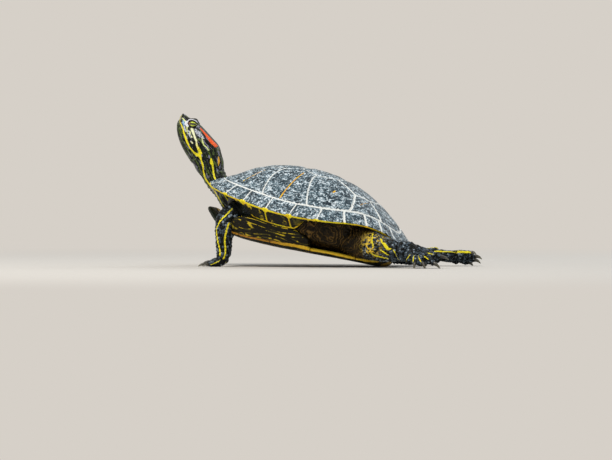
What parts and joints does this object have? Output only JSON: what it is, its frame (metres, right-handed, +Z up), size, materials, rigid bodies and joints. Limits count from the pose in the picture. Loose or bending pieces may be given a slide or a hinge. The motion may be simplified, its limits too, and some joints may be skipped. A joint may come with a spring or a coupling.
{
  "type": "red-eared slider turtle",
  "caption": "Life-size red-eared slider turtle at rest, neck stretched up, propped on its forelegs with the hind legs trailing behind.",
  "frame": {"origin": "on the floor, in the middle of the footprint box", "axes": "+X towards the tail, head at -X; +Z up; the turtle's left side faces -Y"},
  "size_m": [0.2856, 0.1406, 0.1409],
  "materials": {
    "skin": "damp dark olive skin with yellow stripes",
    "carapace": "satin slate-grey horn plates with pale seams",
    "plastron": "satin horn, yellow-orange with dark blotches",
    "eye": "wet, yellow-green with a dark bar"
  },
  "bodies": {
    "root": {"vertebral_1": "carapace", "vertebral_2": "carapace", "vertebral_3": "carapace", "vertebral_4": "carapace", "vertebral_5": "carapace", "costal_right_1": "carapace", "costal_right_2": "carapace", "costal_right_3": "carapace", "costal_right_4": "carapace", "costal_left_1": "carapace", "costal_left_2": "carapace", "costal_left_3": "carapace", "costal_left_4": "carapace", "marginals_right_front": "carapace", "marginals_right_bridge": "carapace", "marginals_right_rear": "carapace", "marginals_left_front": "carapace", "marginals_left_bridge": "carapace", "marginals_left_rear": "carapace", "nuchal": "carapace", "plastron": "plastron", "head": "skin", "lower_jaw": "skin", "neck": "skin", "tail": "skin", "left_upper_arm": "skin", "left_forearm": "skin", "left_hand": "skin", "right_upper_arm": "skin", "right_forearm": "skin", "right_hand": "skin", "left_thigh": "skin", "left_shank": "skin", "left_foot": "skin", "right_thigh": "skin", "right_shank": "skin", "right_foot": "skin", "trunk": "skin", "eye_left": "eye", "eye_right": "eye"}
  },
  "joints": []
}
